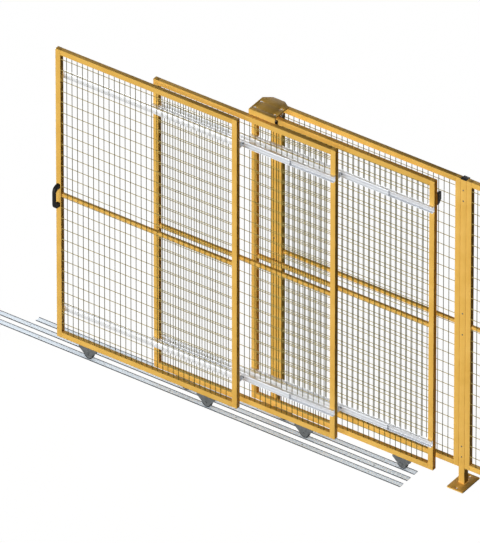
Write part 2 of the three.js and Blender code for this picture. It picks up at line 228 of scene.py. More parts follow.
# ---- Screws and bolts with a washer; sink is how deep the washer lies in its seat ----
Bolt = namedtuple("Bolt", "washer_radius washer sink head_radius height")
POST_SCREW = Bolt(washer_radius=0.0050, washer=0.0006, sink=0.0002, head_radius=0.0042, height=0.0028)
CLAMP_BOLT = Bolt(washer_radius=0.0058, washer=0.0006, sink=0.0002, head_radius=0.0050, height=0.0032)
AXLE_BOLT = Bolt(washer_radius=0.0092, washer=0.0009, sink=0, head_radius=0.0079, height=0.004)

# ---- Sides of round forms and steps of rounded corners ----
SIDES = 24
ROD_SIDES = 16
HEX_SIDES = 6
BUTTON_SIDES = 16
RIM_SIDES = 36
TYRE_SIDES = 48
WEB_HOLE_SIDES = 14
BOSS_SIDES = 20
RACE_SIDES = 28
ROLLER_SIDES = 40
GRIP_CORNER_STEPS = 4
FOLD_STEPS = 5
SMOOTH_ANGLE = math.radians(32)

# ---- Camera, lights and floor ----
VIEW_AZIMUTH = math.radians(34.7262)
VIEW_ELEVATION = math.radians(35.6627)
VIEW_TARGET = Vector((-1.4318, -0.1541, 0.9796))
VIEW_DISTANCE = 127.2693
VIEW_LENS = 1490
VIEW_SENSOR = 36
VIEW_CLIP = (1, 1000)
FRONT_SIDE = (-0.38, -1.0, 0.215)
FRONT_SPREAD = 30
MAIN_STRENGTH = 0.7
FILL_STRENGTH = 2.45
BACK_SIDE = (-0.45, 1.0, 0.02)
BACK_SPREAD = 16
BACK_STRENGTH = 1.9
AMBIENT = 0.018
FLOOR_ALBEDO = 0.2
FLOOR_GLOW = 0.95
FLOOR_REACH = 30
FLOOR_LEVEL = -0.001


# ---- Materials ----
NOISE_ROUGHNESS = 0.55
NOISE_LOW = 0.3
NOISE_HIGH = 0.7
LINE_STRETCH = (0.012, 1, 1)
STREAK_STRETCH = (0.03, 1, 1)
STREAK_SHARE = 0.7


def srgb(red, green, blue):
    """A screen colour from 0 to 255 as the linear colour that the shaders take."""
    linear = []
    for value in (red, green, blue):
        share = value / 255
        linear.append(share / 12.92 if share <= 0.04045 else ((share + 0.055) / 1.055) ** 2.4)
    return (*linear, 1.0)


def add_node(tree, kind, inputs):
    """A new node; each of these inputs takes a plain value or another node's output."""
    node = tree.nodes.new(kind)
    for name, value in inputs.items():
        if isinstance(value, bpy.types.NodeSocket):
            tree.links.new(value, node.inputs[name])
        else:
            node.inputs[name].default_value = value
    return node


class Shader:
    """A material whose colour, roughness and relief each follow a pattern."""

    def __init__(self, name, metallic, specular):
        self.material = bpy.data.materials.new(name)
        self.material.use_nodes = True
        self.tree = self.material.node_tree
        self.inputs = self.tree.nodes["Principled BSDF"].inputs
        self.inputs["Metallic"].default_value = metallic
        self.inputs["Specular IOR Level"].default_value = specular
        self.place = add_node(self.tree, "ShaderNodeTexCoord", {}).outputs["Object"]

    def noise(self, scale, detail=3.0, stretch=(1, 1, 1)):
        """Noise of so many features a metre, drawn out along an axis where stretch is small."""
        mapping = add_node(self.tree, "ShaderNodeMapping", {"Vector": self.place, "Scale": stretch})
        noise = add_node(self.tree, "ShaderNodeTexNoise", {
            "Vector": mapping.outputs["Vector"],
            "Scale": scale,
            "Detail": detail,
            "Roughness": NOISE_ROUGHNESS,
        })
        return noise.outputs["Fac"]

    def cells(self, scale):
        """The grey of each cell of a crystal pattern."""
        cells = add_node(self.tree, "ShaderNodeTexVoronoi", {"Vector": self.place, "Scale": scale})
        grey = add_node(self.tree, "ShaderNodeRGBToBW", {"Color": cells.outputs["Color"]})
        return grey.outputs["Val"]

    def colours(self, source, places, colours):
        """The base colour runs through the colours, each at its place, as source rises."""
        ramp = add_node(self.tree, "ShaderNodeValToRGB", {"Fac": source})
        elements = ramp.color_ramp.elements
        while len(elements) < len(colours):
            elements.new(0.5)
        for element, place, colour in zip(elements, places, colours):
            element.position = place
            element.color = colour
        self.tree.links.new(ramp.outputs["Color"], self.inputs["Base Color"])

    def roughness(self, source, low, high):
        spread = add_node(self.tree, "ShaderNodeMapRange", {
            "Value": source,
            "From Min": NOISE_LOW,
            "From Max": NOISE_HIGH,
            "To Min": low,
            "To Max": high,
        })
        self.tree.links.new(spread.outputs["Result"], self.inputs["Roughness"])

    def relief(self, source, depth, strength):
        bump = add_node(self.tree, "ShaderNodeBump", {
            "Height": source,
            "Distance": depth,
            "Strength": strength,
        })
        self.tree.links.new(bump.outputs["Normal"], self.inputs["Normal"])


def coat(
    name, colours, places, cloud, sheen, rough, grain, depth, strength,
    detail=2.0, metallic=0.0, specular=0.4,
):
    """A coat whose colour drifts in one cloud and its roughness in another, over a fine grain.

    cloud, sheen and grain are the features a metre of the colour, the roughness and the relief.
    """
    shader = Shader(name, metallic, specular)
    shader.colours(shader.noise(cloud), places, colours)
    shader.roughness(shader.noise(sheen), *rough)
    shader.relief(shader.noise(grain, detail), depth, strength)
    return shader.material


def coated_wire(name, *colours):
    return coat(
        name, colours, places=(0.32, 0.50, 0.70), cloud=26, sheen=190, rough=(0.38, 0.60),
        grain=900, depth=0.00008, strength=0.5, specular=0.04,
    )


def nylon(name, *colours):
    """Matt moulded nylon."""
    return coat(
        name, colours, places=(0.30, 0.70), cloud=90, sheen=300, rough=(0.40, 0.55),
        grain=1200, detail=3.0, depth=0.00006, strength=0.4,
    )


def drawn_metal(name, colours, fine, rough, metallic=0.85):
    """Bright metal with fine lines and streaks along X, as an extrusion or a drawn section has."""
    shader = Shader(name, metallic, specular=0.5)
    lines = shader.noise(fine, detail=4.0, stretch=LINE_STRETCH)
    shader.colours(lines, (0.34, 0.66), colours)
    shader.roughness(shader.noise(fine * STREAK_SHARE, stretch=STREAK_STRETCH), *rough)
    shader.relief(lines, depth=0.00006, strength=0.35)
    return shader.material


def galvanised(name, *colours):
    """Dull zinc with the crystals of hot dip galvanising."""
    shader = Shader(name, metallic=0.2, specular=0.4)
    shader.colours(shader.cells(70), (0.15, 0.85), colours)
    shader.roughness(shader.noise(120), 0.45, 0.65)
    shader.relief(shader.noise(300, detail=2.0), depth=0.0001, strength=0.3)
    return shader.material


# Satin powder coat: a faint cloud of thicker and thinner paint and a fine orange peel.
PAINT = coat(
    "powder_coat", (srgb(226, 177, 83), srgb(232, 184, 90), srgb(237, 190, 98)),
    places=(0.30, 0.50, 0.72), cloud=9, sheen=60, rough=(0.42, 0.58),
    grain=420, depth=0.0002, strength=0.35, specular=0.05,
)
DARK_COAT = coat(
    "dark_coat", (srgb(86, 89, 90), srgb(98, 101, 102), srgb(110, 113, 114)),
    places=(0.32, 0.50, 0.72), cloud=70, sheen=160, rough=(0.40, 0.62),
    grain=700, depth=0.0001, strength=0.4, specular=0.2,
)
# Zinc plate, with the faint yellow and blue that it takes.
ZINC = coat(
    "bolt_zinc", (srgb(150, 146, 132), srgb(190, 190, 184), srgb(206, 210, 214)),
    places=(0.30, 0.55, 0.75), cloud=140, sheen=420, rough=(0.25, 0.45),
    grain=900, detail=3.0, depth=0.00005, strength=0.4, metallic=0.8, specular=0.5,
)
# Black plastic with the fine grain of its mould.
BLACK = coat(
    "moulded_black", (srgb(8, 8, 9), srgb(17, 17, 19)),
    places=(0.30, 0.70), cloud=35, sheen=240, rough=(0.42, 0.62),
    grain=1600, depth=0.00012, strength=0.6, specular=0.15,
)
# The dark running surface of a wheel, scuffed paler in places.
TREAD = coat(
    "tread", (srgb(38, 40, 40), srgb(47, 50, 50), srgb(70, 72, 70)),
    places=(0.35, 0.55, 0.80), cloud=160, sheen=300, rough=(0.60, 0.80),
    grain=1100, detail=3.0, depth=0.00012, strength=0.6, specular=0.3,
)
NYLON = nylon("nylon", srgb(112, 115, 118), srgb(134, 137, 140))
# A grey strip inside the guide channels, which paints shade on their inner web.
SHADE_LINER = nylon("rail_painted_shade_liner", srgb(188, 189, 191), srgb(200, 201, 203))
# One wire coat in two tones: the upright wires are a darker olive as painted shade, and the level ones a
# paler tan as painted light.
UPRIGHT_WIRE_SHADED = coated_wire("upright_wire_painted_shade", srgb(84, 79, 28), srgb(97, 91, 36), srgb(112, 105, 46))
LEVEL_WIRE_LIT = coated_wire("level_wire_painted_light", srgb(176, 157, 88), srgb(188, 169, 100), srgb(200, 181, 114))
# The track is one steel: its walls and base are painted dark as the shade on the walls, and its floor
# strip is left bright.
SHADED_TRACK_EDGE = galvanised("track_edge_painted_shade", srgb(48, 53, 58), srgb(64, 69, 74))
TRACK_FLOOR = drawn_metal(
    "track_floor", (srgb(232, 240, 248), srgb(244, 250, 255)), fine=420, rough=(0.78, 0.92),
)
ALUMINIUM = drawn_metal(
    "anodised", (srgb(214, 217, 222), srgb(224, 227, 232)), fine=520, rough=(0.36, 0.48),
)
# A paler copy of the anodised aluminium for the carrier rails, painted light against the shadow that the
# guide channels cast on them.
LIT_ALUMINIUM = drawn_metal(
    "carrier_rail_painted_light", (srgb(224, 226, 229), srgb(232, 234, 237)), fine=520, rough=(0.40, 0.52),
    metallic=0.8,
)
BAR_METAL = drawn_metal(
    "bar_metal", (srgb(192, 195, 199), srgb(202, 205, 209)), fine=460, rough=(0.36, 0.48),
)


# ---- Geometry ----
def spot(axis, u, v, w):
    """The point at place w along the axis, with u and v across it."""
    return Vector({"x": (w, u, v), "y": (u, w, v), "z": (u, v, w)}[axis])


def smoothed(corners, radius, steps=3):
    """The closed outline with each corner rounded, by one radius or by one for each corner."""
    corners = [Vector(corner) for corner in corners]
    sizes = radius if isinstance(radius, (list, tuple)) else [radius] * len(corners)
    points = []
    for i, (corner, size) in enumerate(zip(corners, sizes)):
        start = corner + (corners[i - 1] - corner).normalized() * size
        end = corner + (corners[(i + 1) % len(corners)] - corner).normalized() * size
        for k in range(steps + 1):
            t = k / steps
            points.append(start * (1 - t) ** 2 + corner * 2 * t * (1 - t) + end * t ** 2)
    return points


def rectangle(u0, u1, v0, v1, radius, steps=3):
    return smoothed([(u0, v0), (u1, v0), (u1, v1), (u0, v1)], radius, steps)


def circle(u, v, radius, steps=SIDES):
    turns = [2 * math.pi * k / steps for k in range(steps)]
    return [Vector((u + radius * math.cos(t), v + radius * math.sin(t))) for t in turns]


def bezier(points, steps):
    """Points along a quadratic or cubic curve, its start included and its end left out."""
    degree = len(points) - 1
    made = []
    for k in range(steps):
        t = k / steps
        total = Vector((0, 0))
        for i, point in enumerate(points):
            total += Vector(point) * (math.comb(degree, i) * t ** i * (1 - t) ** (degree - i))
        made.append(total)
    return made


def anticlockwise(outline):
    area = sum(a.x * b.y - b.x * a.y for a, b in zip(outline, outline[1:] + outline[:1]))
    return outline if area > 0 else outline[::-1]


def inset(outline, distance):
    """The anticlockwise outline moved inwards by distance, less at its sharpest corners."""
    least_reach = 0.3
    moved = []
    for i, point in enumerate(outline):
        before = (point - outline[i - 1]).normalized()
        after = (outline[(i + 1) % len(outline)] - point).normalized()
        inward = Vector((-before.y - after.y, before.x + after.x)).normalized()
        reach = max(least_reach, inward.dot(Vector((-before.y, before.x))))
        moved.append(point + inward * (distance / reach))
    return moved


def skin(part, rows, closed=False):
    """Quads between rows of vertices that each go round once."""
    pairs = list(zip(rows, rows[1:]))
    if closed:
        pairs.append((rows[-1], rows[0]))
    for low, high in pairs:
        for k in range(max(len(low), len(high))):
            ring = [low[k % len(low)], low[(k + 1) % len(low)]]
            ring += [high[(k + 1) % len(high)], high[k % len(high)]]
            part.faces.new(list(dict.fromkeys(ring)))


def loft(part, rings):
    """A closed body through rings of points."""
    rows = [[part.verts.new(point) for point in ring] for ring in rings]
    skin(part, rows)
    part.faces.new(rows[0])
    part.faces.new(rows[-1])


def slab(part, loops, axis, start, end, edge=0.0, steps=2):
    """A body with the outline of the first loop and holes at the others, its rims rounded by edge."""
    rounding = [(edge, 0.0)]
    if edge:
        turns = [math.pi / 2 * k / steps for k in range(steps + 1)]
        rounding = [(edge * (1 - math.sin(t)), edge * (1 - math.cos(t))) for t in turns]
    levels = [(start + height, inwards) for inwards, height in rounding]
    levels += [(end - height, inwards) for inwards, height in reversed(rounding)]
    caps = ([], [])
    for number, loop in enumerate(loops):
        outline = anticlockwise([Vector(point) for point in loop])
        sign = 1 if number == 0 else -1
        rows = []
        for w, inwards in levels:
            ring = inset(outline, sign * inwards) if inwards else outline
            rows.append([part.verts.new(spot(axis, point.x, point.y, w)) for point in ring])
        skin(part, rows)
        caps[0].append(rows[0])
        caps[1].append(rows[-1])
    for cap in caps:
        if len(cap) == 1:
            part.faces.new(cap[0])
            continue
        edges = [part.edges.get((a, b)) for row in cap for a, b in zip(row, row[1:] + row[:1])]
        bmesh.ops.triangle_fill(part, edges=edges, use_beauty=True)


def bar(part, low, high, axis, radius, edge=0.0, steps=3):
    """A bar with round long edges that fills the box from low to high."""
    n = "xyz".index(axis)
    (u0, v0), (u1, v1) = [[corner[i] for i in range(3) if i != n] for corner in (low, high)]
    slab(part, [rectangle(u0, u1, v0, v1, radius, steps)], axis, low[n], high[n], edge)


def lathe(part, profile, axis, centre, steps=SIDES):
    """A body turned round the axis through centre, from pairs of radius and place along it."""
    rows = []
    for radius, along in profile:
        turns = [2 * math.pi * k / steps for k in range(steps if radius > 0 else 1)]
        points = [spot(axis, radius * math.cos(t), radius * math.sin(t), along) for t in turns]
        rows.append([part.verts.new(Vector(centre) + point) for point in points])
    skin(part, rows, closed=profile[0][0] > 0)


def mirrored(profile):
    """The low half of a lathe's profile with its mirror image about the centre."""
    return [*profile, *((radius, -along) for radius, along in reversed(profile))]


def rod(part, axis, centre, radius, start, end, steps=ROD_SIDES):
    lathe(part, [(0, start), (radius, start), (radius, end), (0, end)], axis, centre, steps)


def nub(part, centre, axis, height):
    """A small round lump, such as a spot weld leaves."""
    wide = NUB_RADIUS * NUB_FLAT_WIDTH
    flat = height * NUB_FLAT_HEIGHT
    lathe(part, mirrored([(0, -height), (wide, -flat)]), axis, centre, NUB_SIDES)


def weld(part, start, end, radius):
    """A rippled weld bead along one of the axes, from its low end to its high end."""
    along = Vector(end) - Vector(start)
    axis = "xyz"[max(range(3), key=lambda i: abs(along[i]))]
    count = max(2, round(along.length / WELD_STEP))
    profile = [(0, 0)]
    for k in range(1, 2 * count):
        profile.append((radius if k % 2 else radius * WELD_VALLEY, along.length * k / (2 * count)))
    profile.append((0, along.length))
    lathe(part, profile, axis, start, WELD_SIDES)


def turned_head(part, shape, sides, axis, centre, radius, start, end):
    """A head whose shape is given in shares; start is the side that is seated."""
    profile = [(radius * out, start + (end - start) * up) for out, up in shape]
    lathe(part, profile, axis, centre, sides)


def hex_head(part, axis, centre, radius, start, end):
    """A six-sided head or nut, its outer corners chamfered."""
    turned_head(part, HEX_HEAD, HEX_SIDES, axis, centre, radius, start, end)


def button_head(part, axis, centre, radius, start, end):
    """A domed screw head with a socket."""
    turned_head(part, BUTTON_HEAD, BUTTON_SIDES, axis, centre, radius, start, end)


def bolt(part, head, size, axis, centre, seat, way):
    """A washer and a head that stand out from the seat towards way, which is -1 or 1."""
    top = seat + way * size.washer
    rod(part, axis, centre, size.washer_radius, seat - way * size.sink, top)
    head(part, axis, centre, size.head_radius, top, seat + way * size.height)


class Piece:
    """One named piece of closed bodies, each in one of its materials, that rides on a body."""

    def __init__(self, name, body, slot, *materials):
        self.name = name
        self.body = body
        self.slot = slot
        self.materials = materials
        self.whole = bmesh.new()
        self.part = bmesh.new()

    def take(self, material=0):
        """What was drawn since the last call becomes part of the piece, in this material."""
        part = self.part
        bmesh.ops.recalc_face_normals(part, faces=part.faces)
        for face in part.faces:
            face.material_index = material
            face.smooth = True
        for edge in part.edges:
            edge.smooth = len(edge.link_faces) == 2 and edge.calc_face_angle() < SMOOTH_ANGLE
        mesh = bpy.data.meshes.new("part")
        part.to_mesh(mesh)
        part.free()
        self.whole.from_mesh(mesh)
        bpy.data.meshes.remove(mesh)
        self.part = bmesh.new()

    def done(self, *nodes):
        """The piece is finished, and stands for these nodes of the frame."""
        self.take()
        mesh = bpy.data.meshes.new(self.name)
        self.whole.to_mesh(mesh)
        self.whole.free()
        for material in self.materials:
            mesh.materials.append(material)
        piece = bpy.data.objects.new(self.name, mesh)
        bpy.context.scene.collection.objects.link(piece)
        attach(piece, self.body)
        if nodes:
            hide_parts(*nodes)


# ---- Tube frames and welded mesh ----
def tube_frame(node, body):
    """Two full-height stiles with the rails welded between them."""
    low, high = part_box(node)
    piece = Piece(node + "_tubes", body, "frame_paint", PAINT)
    part = piece.part
    inner = (low.x + FRAME_FACE, high.x - FRAME_FACE)
    middle = (low.z + high.z) / 2
    for x in (low.x, inner[1]):
        ends = ((x, low.y, low.z), (x + FRAME_FACE, high.y, high.z))
        bar(part, *ends, "z", TUBE_ROUND, END_ROUND)
    for z in (low.z, high.z - FRAME_FACE):
        ends = ((inner[0], low.y, z), (inner[1], high.y, z + FRAME_FACE))
        bar(part, *ends, "x", TUBE_ROUND, JOINT_ROUND)
    front = low.y + MID_RAIL_SET_BACK
    back = front + MID_RAIL
    ends = ((inner[0], front, middle - MID_RAIL), (inner[1], back, middle))
    bar(part, *ends, "x", MID_RAIL_ROUND, JOINT_ROUND)
    margin = TUBE_ROUND + WELD_RADIUS
    for x in inner:
        for z in (low.z + FRAME_FACE, high.z - FRAME_FACE):
            weld(part, (x, low.y + margin, z), (x, high.y - margin, z), WELD_RADIUS)
        for z in (middle - MID_RAIL, middle):
            weld(part, (x, front + margin, z), (x, back - MID_RAIL_ROUND, z), WELD_RADIUS)
    piece.done(node)


def welded_mesh(node, frame_node, body):
    """Upright wires with level wires behind them, spot-welded at each crossing and to the tubes."""
    low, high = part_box(frame_node)
    # The upright wires take the coat with painted shade, and the level wires the same coat with painted
    # light.
    piece = Piece(node + "_wires", body, "mesh_wire", UPRIGHT_WIRE_SHADED, LEVEL_WIRE_LIT)
    end_inset = FRAME_FACE - WELD_SINK
    left = low.x + end_inset
    right = high.x - end_inset
    bottom = low.z + end_inset
    top = high.z - end_inset
    centre = (low.x + high.x) / 2
    top_row = high.z - FRAME_FACE - TOP_ROW_GAP
    column_y = low.y + MESH_SET_BACK + WIRE / 2
    row_y = column_y + WIRE - WELD_SINK
    columns = round((high.x - low.x - 2 * FRAME_FACE) / COLUMN_PITCH) - 1
    rows = math.floor((high.z - low.z - 2 * FRAME_FACE - TOP_ROW_GAP) / ROW_PITCH) + 1
    column_places = [centre + (i - (columns - 1) / 2) * COLUMN_PITCH for i in range(columns)]
    for x in column_places:
        rod(piece.part, "z", (x, column_y, 0), WIRE / 2, bottom, top, WIRE_SIDES)
        for z in (bottom, top):
            nub(piece.part, (x, column_y, z), "z", END_NUB_HEIGHT)
    piece.take(0)
    for i in range(rows):
        z = top_row - i * ROW_PITCH
        rod(piece.part, "x", (0, row_y, z), WIRE / 2, left, right, WIRE_SIDES)
        for x in (left, right):
            nub(piece.part, (x, row_y, z), "x", END_NUB_HEIGHT)
        for x in column_places:
            nub(piece.part, (x, (column_y + row_y) / 2, z), "y", CROSSING_NUB_HEIGHT)
    piece.take(1)
    piece.done(node)


# ---- Posts ----
def post(side):
    """A square tube welded on its foot plate, and the screws through it that hold the panels."""
    node = "post_" + side
    low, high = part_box(node)
    size = high - low
    x = (low.x + high.x) / 2
    y = (low.y + high.y) / 2
    half = POST / 2
    reach = max(size.x, size.y) / 2 - FOOT_HOLE_INSET
    loops = [rectangle(low.x, high.x, low.y, high.y, FOOT_ROUND)]
    for way in (-reach, reach):
        hole = (x + way, y) if size.x > size.y else (x, y + way)
        loops.append(circle(*hole, FOOT_HOLE_RADIUS))
    upright = Piece(node + "_upright", "fence", "frame_paint", PAINT)
    part = upright.part
    slab(part, loops, "z", 0, FOOT_THICKNESS, FOOT_EDGE)
    ends = ((x - half, y - half, FOOT_THICKNESS), (x + half, y + half, high.z))
    bar(part, *ends, "z", POST_ROUND, JOINT_ROUND)
    run = half - POST_ROUND / 2
    bead = FOOT_THICKNESS + FOOT_WELD_RISE
    for way in (-half, half):
        weld(part, (x - run, y + way, bead), (x + run, y + way, bead), FOOT_WELD_RADIUS)
        weld(part, (x + way, y - run, bead), (x + way, y + run, bead), FOOT_WELD_RADIUS)
    upright.done(node)
    screws = Piece(node + "_screws", "fence", "frame_paint", DARK_COAT)
    middle = (PANEL_BOTTOM + PANEL_TOP) / 2
    heights = [middle - SCREW_MIDDLE, middle + SCREW_MIDDLE]
    for gap in (SCREW_NEAR, SCREW_FAR):
        heights += [PANEL_BOTTOM + gap, PANEL_TOP - gap]
    for z in heights:
        bolt(screws.part, button_head, POST_SCREW, "y", (x, y, z), -half, -1)
    screws.done()


def post_cap(side):
    """A lid on the post and the plug under it, which stands in the tube."""
    node = "post_cap_" + side
    low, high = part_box(node)
    x = (low.x + high.x) / 2
    lid = high.z - CAP_LID
    plug = POST / 2 - CAP_PLUG_GAP
    piece = Piece(node + "_moulding", "fence", "black_plastic", BLACK)
    bar(piece.part, (low.x, low.y, lid), high, "z", POST_ROUND, CAP_LID_EDGE)
    bar(piece.part, (x - plug, -plug, low.z), (x + plug, plug, lid), "z", POST_ROUND, CAP_PLUG_EDGE)
    piece.done(node)


# ---- Tracks, rails and slide bars ----
def channel(part, low, high, out, base, wall):
    """A U section along X that fills the box and opens towards out, a direction in Y and Z."""
    out = Vector(out)
    across = Vector((abs(out.y), abs(out.x)))
    size = Vector((high.y - low.y, high.z - low.z))
    centre = Vector((high.y + low.y, high.z + low.z)) / 2
    depth = abs(size.dot(out))
    web = centre - out * depth / 2
    half = size.dot(across) / 2
    inner = half - wall
    corners = [
        (-half, 0), (half, 0), (half, depth), (inner, depth),
        (inner, base), (-inner, base), (-inner, depth), (-half, depth),
    ]
    rounds = [wall * CHANNEL_OUTER_ROUND] * 2 + [wall * CHANNEL_LIP_ROUND] * 6
    outline = [web + across * point.x + out * point.y for point in smoothed(corners, rounds, 2)]
    slab(part, [outline], "x", low.x, high.x, CHANNEL_EDGE, 1)


def track(leaf):
    """A channel on the floor, its walls and base painted dark as shade, with a bright floor strip and a
    row of screws.
    """
    node = f"track_{leaf}"
    low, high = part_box(node)
    y = (low.y + high.y) / 2
    piece = Piece(node + "_section", "fence", "track_steel", SHADED_TRACK_EDGE, TRACK_FLOOR, ZINC)
    channel(piece.part, low, high, (0, 1), TRACK_BASE, TRACK_WALL)
    piece.take(0)
    half = (high.y - low.y) / 2 - TRACK_WALL - TRACK_STRIP_GAP
    strip = (
        (low.x + TRACK_STRIP_GAP, y - half, TRACK_BASE - TRACK_STRIP_SINK),
        (high.x - TRACK_STRIP_GAP, y + half, TRACK_BASE + TRACK_STRIP_RISE),
    )
    bar(piece.part, *strip, "x", STRIP_ROUND, steps=1)
    piece.take(1)
    count = round((high.x - low.x) / TRACK_SCREW_PITCH)
    pitch = (high.x - low.x) / count
    for i in range(count):
        lathe(piece.part, TRACK_SCREW, "z", (low.x + pitch * (i + 0.5), y, TRACK_BASE))
    piece.take(2)
    piece.done(node)


def rail(node, body, facing):
    """A rail along a leaf, open towards -Y where facing is -1 and towards +Y where it is 1.

    Those that face -Y guide the slide bar of the leaf in front, and have a grey strip along their web
    that is painted shade inside the channel.
    """
    low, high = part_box(node)
    z = (low.z + high.z) / 2
    face = (low.y if facing > 0 else high.y) + facing * RAIL_WALL
    # The carrier rails take the paler copy of the aluminium, which is painted light.
    metal = LIT_ALUMINIUM if facing > 0 else ALUMINIUM
    piece = Piece(node + "_section", body, "rail_aluminium", metal, ZINC, SHADE_LINER)
    channel(piece.part, low, high, (facing, 0), RAIL_WALL, RAIL_WALL)
    piece.take(0)
    if facing < 0:
        # The strip along the web paints the shade inside the channel.
        half = (high.z - low.z) / 2 - RAIL_WALL - SHADE_LINER_SIDE_GAP
        shade_liner = (
            (low.x + SHADE_LINER_END_GAP, face - SHADE_LINER_RISE, z - half),
            (high.x - SHADE_LINER_END_GAP, face + SHADE_LINER_SINK, z + half),
        )
        bar(piece.part, *shade_liner, "x", STRIP_ROUND, steps=1)
        piece.take(2)
    screw = [(radius, facing * rise) for radius, rise in RAIL_SCREW]
    for x in (low.x + RAIL_SCREW_INSET, high.x - RAIL_SCREW_INSET):
        lathe(piece.part, screw, "y", (x, face, z))
    piece.take(1)
    piece.done(node)


def slide_bar(node, body, leaf_end):
    """A block in the leaf's own rail and the slimmer bar that runs on into the next leaf's channel."""
    low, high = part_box(node)
    z = (low.z + high.z) / 2
    front = high.y - BAR_DEPTH
    piece = Piece(node + "_bar", body, "rail_aluminium", BAR_METAL, DARK_COAT)
    block_end = (leaf_end - BAR_LAP / 4, high.y, high.z)
    bar(piece.part, low, block_end, "x", BLOCK_ROUND, BAR_EDGE, 2)
    half = BAR_GROOVE / 2
    groove = front + BAR_GROOVE_DEPTH
    corners = [
        (front, low.z), (high.y, low.z), (high.y, high.z), (front, high.z),
        (front, z + half), (groove, z + half), (groove, z - half), (front, z - half),
    ]
    outline = smoothed(corners, [BAR_ROUND] * 4 + [BAR_GROOVE_ROUND] * 4, 2)
    slab(piece.part, [outline], "x", leaf_end - BAR_LAP, high.x, BAR_EDGE, 1)
    piece.take(0)
    axis_spot = (0, (front + high.y) / 2, z)
    plug = (high.x - BAR_PLUG_DEPTH, high.x - BAR_PLUG_SINK)
    rod(piece.part, "x", axis_spot, BAR_PLUG_RADIUS, *plug)
    clamp = (leaf_end + CLAMP_OFFSET, 0, z + CLAMP_RISE)
    bolt(piece.part, hex_head, CLAMP_BOLT, "y", clamp, front, -1)
    piece.take(1)
    piece.done(node)


# ---- Wheels ----
def cheek(x, low, high):
    """The outline of a bracket's side: shoulders under the leaf that taper to a round nose."""
    half = (high.x - low.x) / 2
    nose = low.z + NOSE_RADIUS
    shoulder = high.z - SHOULDER
    rise = shoulder - nose
    tangent = math.asin(NOSE_RADIUS / math.hypot(half, rise)) + math.atan2(rise, half)
    first = math.pi - (tangent - math.pi / 2)
    sweep = math.pi + 2 * (tangent - math.pi / 2)
    points = [(x - half, high.z), (x - half, shoulder)]
    for k in range(NOSE_STEPS + 1):
        angle = first + sweep * k / NOSE_STEPS
        points.append((x + NOSE_RADIUS * math.cos(angle), nose + NOSE_RADIUS * math.sin(angle)))
    points += [(x + half, shoulder), (x + half, high.z)]
    return points


def wheel_bracket(node, body):
    """Two cheeks, one on each side of the wheel, welded under a top plate."""
    low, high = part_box(node)
    x = (low.x + high.x) / 2
    piece = Piece(node + "_cheeks", body, "dark_steel", DARK_COAT)
    part = piece.part
    loops = [cheek(x, low, high), circle(x, low.z + NOSE_DROP, BORE_RADIUS)]
    for start in (low.y, high.y - CHEEK):
        slab(part, loops, "y", start, start + CHEEK, CHEEK_EDGE)
    underside = high.z - CHEEK
    top = (
        (low.x, low.y + BRACKET_TOP_EDGE, underside),
        (high.x, high.y - BRACKET_TOP_EDGE, high.z),
    )
    bar(part, *top, "x", BRACKET_TOP_ROUND, BRACKET_TOP_EDGE)
    left = low.x + BRACKET_WELD_INSET
    right = high.x - BRACKET_WELD_INSET
    for y in (low.y + CHEEK, high.y - CHEEK):
        weld(part, (left, y, underside), (right, y, underside), BRACKET_WELD_RADIUS)
    piece.done(node)


def running_ring(part, bore, shoulder, radius, half, axis, centre, steps):
    """A ring with rounded shoulders; bore is its inner radius and how far in from the side it ends."""
    inner, dish = bore
    profile = [(inner, dish - half)]
    profile += [(radius - inwards, side - half) for inwards, side in shoulder]
    lathe(part, mirrored(profile), axis, centre, steps)


def wheel(node, body):
    """A nylon hub with a pierced web and a rim, and the tyre round it."""
    low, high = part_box(node)
    centre = (low + high) / 2
    half = (high.y - low.y) / 2
    radius = (high.z - low.z) / 2
    hub = Piece(node + "_hub", body, "tyre", NYLON)
    collar = [(BORE_RADIUS, -half), (HUB_RADIUS - HUB_CHAMFER, -half), (HUB_RADIUS, HUB_CHAMFER - half)]
    lathe(hub.part, mirrored(collar), "y", centre)
    rim_inner = TYRE_INNER - RIM_WALL
    rim = [(rim_inner, RIM_SIDE_GAP - half), (TYRE_INNER, RIM_SIDE_GAP - half)]
    lathe(hub.part, mirrored(rim), "y", centre, RIM_SIDES)
    loops = [
        circle(centre.x, centre.z, TYRE_INNER - WEB_RIM_LAP, RIM_SIDES),
        circle(centre.x, centre.z, HUB_RADIUS - WEB_HUB_LAP),
    ]
    ring = (rim_inner + HUB_RADIUS) / 2
    for k in range(WEB_HOLES):
        turn = 2 * math.pi * k / WEB_HOLES
        u = centre.x + ring * math.cos(turn)
        v = centre.z + ring * math.sin(turn)
        loops.append(circle(u, v, WEB_HOLE_RADIUS, WEB_HOLE_SIDES))
    slab(hub.part, loops, "y", centre.y - WEB_HALF, centre.y + WEB_HALF, WEB_EDGE, 1)
    hub.done()
    tyre = Piece(node + "_tyre", body, "tyre", TREAD)
    bore = (TYRE_INNER, TYRE_DISH)
    running_ring(tyre.part, bore, TYRE_SHOULDER, radius, half, "y", centre, TYRE_SIDES)
    tyre.done(node)


def axle(node, body):
    """The bolt that a wheel turns on, with its head at the front and its nut at the back."""
    low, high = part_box(node)
    centre = (low + high) / 2
    centre.y = 0
    piece = Piece(node + "_bolt", body, "dark_steel", DARK_COAT)
    rod(piece.part, "y", centre, AXLE_RADIUS, low.y + AXLE_HEAD_SINK, high.y - AXLE_NUT_SINK)
    bolt(piece.part, hex_head, AXLE_BOLT, "y", centre, low.y + AXLE_BOLT.height, -1)
    bolt(piece.part, hex_head, AXLE_BOLT, "y", centre, high.y - AXLE_BOLT.height, 1)
    piece.done(node)


